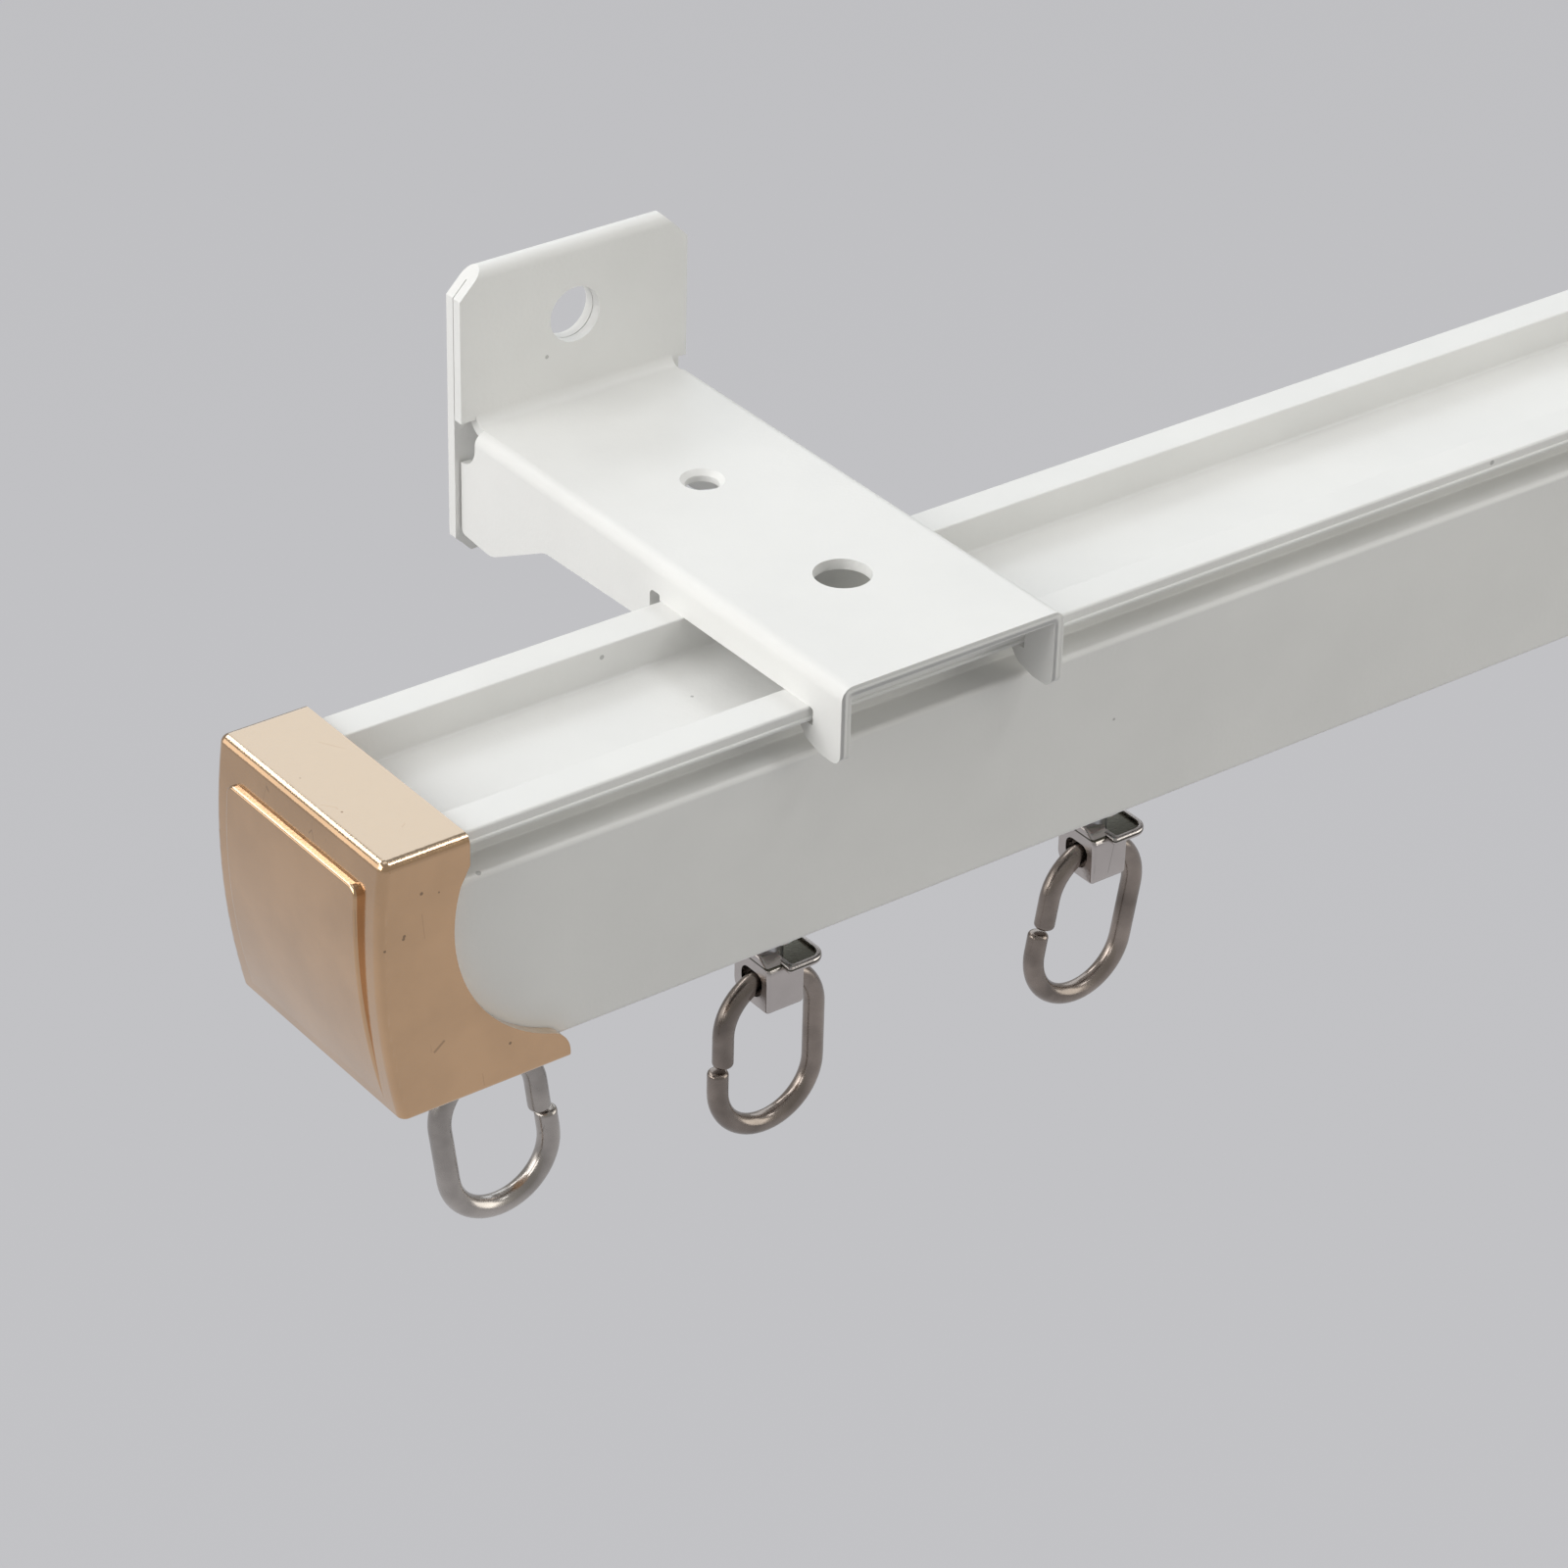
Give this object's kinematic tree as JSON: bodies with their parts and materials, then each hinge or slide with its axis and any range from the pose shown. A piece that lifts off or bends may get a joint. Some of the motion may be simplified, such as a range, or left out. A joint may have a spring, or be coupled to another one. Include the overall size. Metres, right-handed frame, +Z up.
{
  "type": "curtain track",
  "caption": "White metal curtain track with plated end caps, folded wall brackets and wheeled gliders that carry wire rings.",
  "frame": {"origin": "midway between the two wall screws, on the wall plane behind the brackets", "axes": "X along the rail, +Y into the wall, +Z up"},
  "size_m": [0.3022, 0.0559, 0.0677],
  "materials": {
    "white_paint": "satin",
    "white_sheet": "satin",
    "champagne_plating": "satin plated",
    "nickel_wire": "polished",
    "nylon": "matte",
    "wheel_nylon": "matte",
    "zinc_pin": "satin",
    "plated_casting": "satin plated"
  },
  "bodies": {
    "track": {"rail": "white_paint", "end_cap_left": "champagne_plating", "end_cap_right": "champagne_plating", "bracket_left": "white_sheet", "bracket_right": "white_sheet"},
    "end_ring_left": {"end_ring_left": "nickel_wire"},
    "end_ring_right": {"end_ring_right": "nickel_wire"},
    "glider_1": {"carriage_1": "nylon", "axle_1": "zinc_pin"},
    "wheel_front_1": {"wheel_front_1": "wheel_nylon"},
    "wheel_rear_1": {"wheel_rear_1": "wheel_nylon"},
    "hanger_1": {"swivel_pin_1": "zinc_pin", "hanger_1": "plated_casting"},
    "ring_1": {"ring_1": "nickel_wire"},
    "glider_2": {"carriage_2": "nylon", "axle_2": "zinc_pin"},
    "wheel_front_2": {"wheel_front_2": "wheel_nylon"},
    "wheel_rear_2": {"wheel_rear_2": "wheel_nylon"},
    "hanger_2": {"swivel_pin_2": "zinc_pin", "hanger_2": "plated_casting"},
    "ring_2": {"ring_2": "nickel_wire"},
    "glider_3": {"carriage_3": "nylon", "axle_3": "zinc_pin"},
    "wheel_front_3": {"wheel_front_3": "wheel_nylon"},
    "wheel_rear_3": {"wheel_rear_3": "wheel_nylon"},
    "hanger_3": {"swivel_pin_3": "zinc_pin", "hanger_3": "plated_casting"},
    "ring_3": {"ring_3": "nickel_wire"},
    "glider_4": {"carriage_4": "nylon", "axle_4": "zinc_pin"},
    "wheel_front_4": {"wheel_front_4": "wheel_nylon"},
    "wheel_rear_4": {"wheel_rear_4": "wheel_nylon"},
    "hanger_4": {"swivel_pin_4": "zinc_pin", "hanger_4": "plated_casting"},
    "ring_4": {"ring_4": "nickel_wire"}
  },
  "joints": [
    {"name": "end_ring_swing_left", "type": "hinge", "parent": "track", "child": "end_ring_left", "pos_m": [-0.1328, -0.0414, -0.0419], "axis": [1, 0, 0], "range_deg": [-75, 75]},
    {"name": "end_ring_swing_right", "type": "hinge", "parent": "track", "child": "end_ring_right", "pos_m": [0.1328, -0.0414, -0.0419], "axis": [1, 0, 0], "range_deg": [-75, 75]},
    {"name": "glider_slide_1", "type": "slide", "parent": "track", "child": "glider_1", "axis": [1, 0, 0], "range_m": [-0.015, 0.01115]},
    {"name": "wheel_front_roll_1", "type": "hinge", "parent": "glider_1", "child": "wheel_front_1", "pos_m": [-0.1038, -0.0414, -0.02685], "axis": [0, 1, 0], "continuous": true},
    {"name": "wheel_rear_roll_1", "type": "hinge", "parent": "glider_1", "child": "wheel_rear_1", "pos_m": [-0.1038, -0.0414, -0.02685], "axis": [0, 1, 0], "continuous": true},
    {"name": "hanger_swivel_1", "type": "hinge", "parent": "glider_1", "child": "hanger_1", "pos_m": [-0.1038, -0.0414, -0.04455], "axis": [0, 0, 1], "continuous": true},
    {"name": "ring_swing_1", "type": "hinge", "parent": "hanger_1", "child": "ring_1", "pos_m": [-0.1038, -0.0414, -0.04455], "axis": [1, 0, 0], "range_deg": [-75, 75]},
    {"name": "glider_slide_2", "type": "slide", "parent": "track", "child": "glider_2", "axis": [1, 0, 0], "range_m": [-0.01115, 0.0611]},
    {"name": "wheel_front_roll_2", "type": "hinge", "parent": "glider_2", "child": "wheel_front_2", "pos_m": [-0.0679, -0.0414, -0.02685], "axis": [0, 1, 0], "continuous": true},
    {"name": "wheel_rear_roll_2", "type": "hinge", "parent": "glider_2", "child": "wheel_rear_2", "pos_m": [-0.0679, -0.0414, -0.02685], "axis": [0, 1, 0], "continuous": true},
    {"name": "hanger_swivel_2", "type": "hinge", "parent": "glider_2", "child": "hanger_2", "pos_m": [-0.0679, -0.0414, -0.04455], "axis": [0, 0, 1], "continuous": true},
    {"name": "ring_swing_2", "type": "hinge", "parent": "hanger_2", "child": "ring_2", "pos_m": [-0.0679, -0.0414, -0.04455], "axis": [1, 0, 0], "range_deg": [-75, 75]},
    {"name": "glider_slide_3", "type": "slide", "parent": "track", "child": "glider_3", "axis": [1, 0, 0], "range_m": [-0.0611, 0.01115]},
    {"name": "wheel_front_roll_3", "type": "hinge", "parent": "glider_3", "child": "wheel_front_3", "pos_m": [0.0679, -0.0414, -0.02685], "axis": [0, 1, 0], "continuous": true},
    {"name": "wheel_rear_roll_3", "type": "hinge", "parent": "glider_3", "child": "wheel_rear_3", "pos_m": [0.0679, -0.0414, -0.02685], "axis": [0, 1, 0], "continuous": true},
    {"name": "hanger_swivel_3", "type": "hinge", "parent": "glider_3", "child": "hanger_3", "pos_m": [0.0679, -0.0414, -0.04455], "axis": [0, 0, 1], "continuous": true},
    {"name": "ring_swing_3", "type": "hinge", "parent": "hanger_3", "child": "ring_3", "pos_m": [0.0679, -0.0414, -0.04455], "axis": [1, 0, 0], "range_deg": [-75, 75]},
    {"name": "glider_slide_4", "type": "slide", "parent": "track", "child": "glider_4", "axis": [1, 0, 0], "range_m": [-0.01115, 0.015]},
    {"name": "wheel_front_roll_4", "type": "hinge", "parent": "glider_4", "child": "wheel_front_4", "pos_m": [0.1038, -0.0414, -0.02685], "axis": [0, 1, 0], "continuous": true},
    {"name": "wheel_rear_roll_4", "type": "hinge", "parent": "glider_4", "child": "wheel_rear_4", "pos_m": [0.1038, -0.0414, -0.02685], "axis": [0, 1, 0], "continuous": true},
    {"name": "hanger_swivel_4", "type": "hinge", "parent": "glider_4", "child": "hanger_4", "pos_m": [0.1038, -0.0414, -0.04455], "axis": [0, 0, 1], "continuous": true},
    {"name": "ring_swing_4", "type": "hinge", "parent": "hanger_4", "child": "ring_4", "pos_m": [0.1038, -0.0414, -0.04455], "axis": [1, 0, 0], "range_deg": [-75, 75]}
  ],
  "couplings": [
    {"joint": "wheel_front_roll_1", "follows": "glider_slide_1", "rad_per_m": 188.68},
    {"joint": "wheel_rear_roll_1", "follows": "glider_slide_1", "rad_per_m": 188.68},
    {"joint": "wheel_front_roll_2", "follows": "glider_slide_2", "rad_per_m": 188.68},
    {"joint": "wheel_rear_roll_2", "follows": "glider_slide_2", "rad_per_m": 188.68},
    {"joint": "wheel_front_roll_3", "follows": "glider_slide_3", "rad_per_m": 188.68},
    {"joint": "wheel_rear_roll_3", "follows": "glider_slide_3", "rad_per_m": 188.68},
    {"joint": "wheel_front_roll_4", "follows": "glider_slide_4", "rad_per_m": 188.68},
    {"joint": "wheel_rear_roll_4", "follows": "glider_slide_4", "rad_per_m": 188.68}
  ]
}
